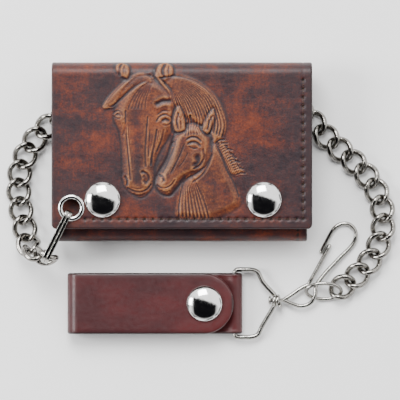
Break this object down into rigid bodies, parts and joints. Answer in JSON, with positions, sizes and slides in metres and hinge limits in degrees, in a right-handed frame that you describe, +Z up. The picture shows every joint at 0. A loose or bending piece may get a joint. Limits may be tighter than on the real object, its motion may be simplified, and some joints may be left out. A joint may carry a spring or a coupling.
{
  "type": "chain wallet",
  "caption": "Trifold leather wallet with two flap snaps and a corner grommet, joined by a ring and curb chain to a snap hook, a wire D-loop and a snap-closed belt strap.",
  "frame": {"origin": "middle of the whole lay-out on the table: wallet, chain, hook and strap; Z is 0 at the table", "axes": "+X to the wearer's right across the flap, +Y towards the wallet's top fold, +Z up from the table"},
  "size_m": [0.1629, 0.1155, 0.0254],
  "materials": {
    "wallet_leather": "waxed, mottled antique brown, embossed on the flap",
    "lining": "matte, thin dark brown lining leather",
    "strap_leather": "smooth burgundy, slight sheen",
    "thread": "waxed dark brown thread",
    "clear_window": "clear soft vinyl sheet",
    "nickel": "bright polished nickel plate"
  },
  "bodies": {
    "wallet": {"back_panel": "wallet_leather", "top_fold": "wallet_leather", "bottom_fold": "wallet_leather", "bill_divider": "lining", "card_pockets": "lining", "pocket_thread": "thread"},
    "flap": {"front_flap": "wallet_leather", "flap_lining": "lining", "flap_thread": "thread", "grommet": "nickel", "grommet_washer": "nickel", "snap_caps": "nickel", "snap_sockets": "nickel", "split_ring": "nickel"},
    "inner": {"inner_panel": "wallet_leather", "window_frame": "lining", "clear_window": "clear_window", "snap_studs": "nickel", "snap_posts": "nickel"},
    "ring_links": {"ring_links": "nickel"},
    "link_01": {"link_01": "nickel"},
    "link_02": {"link_02": "nickel"},
    "link_03": {"link_03": "nickel"},
    "link_04": {"link_04": "nickel"},
    "link_05": {"link_05": "nickel"},
    "link_06": {"link_06": "nickel"},
    "link_07": {"link_07": "nickel"},
    "hidden_links_1": {"hidden_links_1": "nickel"},
    "hidden_links_2": {"hidden_links_2": "nickel"},
    "hidden_links_3": {"hidden_links_3": "nickel"},
    "hidden_links_4": {"hidden_links_4": "nickel"},
    "link_22": {"link_22": "nickel"},
    "link_23": {"link_23": "nickel"},
    "link_24": {"link_24": "nickel"},
    "link_25": {"link_25": "nickel"},
    "link_26": {"link_26": "nickel"},
    "link_27": {"link_27": "nickel"},
    "link_28": {"link_28": "nickel"},
    "link_29": {"link_29": "nickel"},
    "link_30": {"link_30": "nickel"},
    "link_31": {"link_31": "nickel"},
    "link_32": {"link_32": "nickel"},
    "link_33": {"link_33": "nickel"},
    "end_loop": {"end_loop": "nickel"},
    "hook": {"snap_hook": "nickel", "swivel_stem": "nickel"},
    "gate": {"hook_gate": "nickel"},
    "d_loop": {"d_loop": "nickel"},
    "strap": {"strap_back": "strap_leather", "strap_fold": "strap_leather", "strap_stud": "nickel", "strap_post": "nickel"},
    "strap_leaf": {"strap_front": "strap_leather", "strap_cap": "nickel", "strap_socket": "nickel"}
  },
  "joints": [
    {"name": "flap_open", "type": "hinge", "parent": "wallet", "child": "flap", "pos_m": [-0.0078, 0.06, 0.01388], "axis": [-1, 0, 0], "range_deg": [0, 180], "deforming": ["top_fold"]},
    {"name": "inner_open", "type": "hinge", "parent": "wallet", "child": "inner", "pos_m": [-0.0078, -0.0191, 0.01113], "axis": [1, 0, 0], "range_deg": [0, 140], "deforming": ["bottom_fold"]},
    {"name": "ring_swing", "type": "hinge", "parent": "flap", "child": "ring_links", "pos_m": [-0.06325, -0.02227, 0.02113], "axis": [-0.8942, 0.4478, 0], "range_deg": [0, 90]},
    {"name": "bend_01", "type": "hinge", "parent": "wallet", "child": "link_01", "pos_m": [-0.07246, -0.01558, 0.00254], "axis": [0, 0, 1], "range_deg": [-2, 8]},
    {"name": "bend_02", "type": "hinge", "parent": "link_01", "child": "link_02", "pos_m": [-0.07434, -0.00802, 0.00254], "axis": [0, 0, -1], "range_deg": [-8, 16]},
    {"name": "bend_03", "type": "hinge", "parent": "link_02", "child": "link_03", "pos_m": [-0.0757, -0.00033, 0.00254], "axis": [0, 0, 1], "range_deg": [-14, 8]},
    {"name": "bend_04", "type": "hinge", "parent": "link_03", "child": "link_04", "pos_m": [-0.07624, 0.00745, 0.00254], "axis": [0, 0, -1], "range_deg": [-7, 6]},
    {"name": "bend_05", "type": "hinge", "parent": "link_04", "child": "link_05", "pos_m": [-0.07489, 0.01513, 0.00254], "axis": [0, 0, 1], "range_deg": [-6, 7]},
    {"name": "bend_06", "type": "hinge", "parent": "link_05", "child": "link_06", "pos_m": [-0.07172, 0.02225, 0.00254], "axis": [0, 0, -1], "range_deg": [-8, 6]},
    {"name": "bend_07", "type": "hinge", "parent": "link_06", "child": "link_07", "pos_m": [-0.06691, 0.0284, 0.00254], "axis": [0, 0, 1], "range_deg": [-8, 8]},
    {"name": "bend_08", "type": "hinge", "parent": "link_07", "child": "hidden_links_1", "pos_m": [-0.06094, 0.03341, 0.00254], "axis": [0, 0, -1], "range_deg": [-9, 4]},
    {"name": "bend_09", "type": "hinge", "parent": "hidden_links_1", "child": "hidden_links_2", "pos_m": [-0.03059, 0.03591, 0.00254], "axis": [0, 0, 1], "range_deg": [-12, 14]},
    {"name": "bend_10", "type": "hinge", "parent": "hidden_links_2", "child": "hidden_links_3", "pos_m": [-0.00722, 0.03632, 0.00254], "axis": [0, 0, -1], "range_deg": [-16, 8]},
    {"name": "bend_11", "type": "hinge", "parent": "hidden_links_3", "child": "hidden_links_4", "pos_m": [0.0233, 0.04252, 0.00254], "axis": [0, 0, 1], "range_deg": [-2, 24]},
    {"name": "bend_12", "type": "hinge", "parent": "hidden_links_4", "child": "link_22", "pos_m": [0.04491, 0.0355, 0.00254], "axis": [0, 0, -1], "range_deg": [-24, 2]},
    {"name": "bend_13", "type": "hinge", "parent": "link_22", "child": "link_23", "pos_m": [0.04971, 0.02936, 0.00254], "axis": [0, 0, 1], "range_deg": [-6, 12]},
    {"name": "bend_14", "type": "hinge", "parent": "link_23", "child": "link_24", "pos_m": [0.05523, 0.02384, 0.00254], "axis": [0, 0, -1], "range_deg": [-16, 5]},
    {"name": "bend_15", "type": "hinge", "parent": "link_24", "child": "link_25", "pos_m": [0.06111, 0.01872, 0.00254], "axis": [0, 0, 1], "range_deg": [-5, 22]},
    {"name": "bend_16", "type": "hinge", "parent": "link_25", "child": "link_26", "pos_m": [0.06682, 0.01341, 0.00254], "axis": [0, 0, -1], "range_deg": [-24, 5]},
    {"name": "bend_17", "type": "hinge", "parent": "link_26", "child": "link_27", "pos_m": [0.07173, 0.00734, 0.00254], "axis": [0, 0, 1], "range_deg": [-6, 24]},
    {"name": "bend_18", "type": "hinge", "parent": "link_27", "child": "link_28", "pos_m": [0.07515, 0.00033, 0.00254], "axis": [0, 0, -1], "range_deg": [-24, 4]},
    {"name": "bend_19", "type": "hinge", "parent": "link_28", "child": "link_29", "pos_m": [0.0765, -0.00735, 0.00254], "axis": [0, 0, 1], "range_deg": [-4, 24]},
    {"name": "bend_20", "type": "hinge", "parent": "link_29", "child": "link_30", "pos_m": [0.07569, -0.01511, 0.00254], "axis": [0, 0, -1], "range_deg": [-24, 4]},
    {"name": "bend_21", "type": "hinge", "parent": "link_30", "child": "link_31", "pos_m": [0.07276, -0.02234, 0.00254], "axis": [0, 0, 1], "range_deg": [-6, 24]},
    {"name": "bend_22", "type": "hinge", "parent": "link_31", "child": "link_32", "pos_m": [0.06818, -0.02865, 0.00254], "axis": [0, 0, -1], "range_deg": [-24, 5]},
    {"name": "bend_23", "type": "hinge", "parent": "link_32", "child": "link_33", "pos_m": [0.06247, -0.03397, 0.00254], "axis": [0, 0, 1], "range_deg": [-5, 24]},
    {"name": "bend_24", "type": "hinge", "parent": "link_33", "child": "end_loop", "pos_m": [0.05593, -0.03822, 0.003], "axis": [0, 0, -1], "range_deg": [-12, 6]},
    {"name": "bend_25", "type": "hinge", "parent": "end_loop", "child": "hook", "pos_m": [0.04795, -0.038, 0.003], "axis": [0, 0, 1], "range_deg": [-6, 5]},
    {"name": "gate_press", "type": "hinge", "parent": "hook", "child": "gate", "pos_m": [0.0454, -0.0342, 0.002], "axis": [0, 0, -1], "range_deg": [0, 14], "stiffness_Nm_per_rad": 0.002},
    {"name": "swivel", "type": "hinge", "parent": "hook", "child": "d_loop", "pos_m": [0.0322, -0.0416, 0.0028], "axis": [1, 0, 0], "continuous": true},
    {"name": "strap_lift", "type": "hinge", "parent": "d_loop", "child": "strap", "pos_m": [0.0143, -0.04295, 0.00365], "axis": [0, 1, 0], "range_deg": [0, 90]},
    {"name": "leaf_open", "type": "hinge", "parent": "strap", "child": "strap_leaf", "pos_m": [-0.05092, -0.04295, 0.00522], "axis": [0, -1, 0], "range_deg": [0, 120], "deforming": ["strap_fold"]}
  ],
  "couplings": [
    {"joint": "inner_open", "follows": "flap_open", "ratio": 0.7777},
    {"joint": "ring_swing", "follows": "flap_open", "ratio": 0.5}
  ]
}
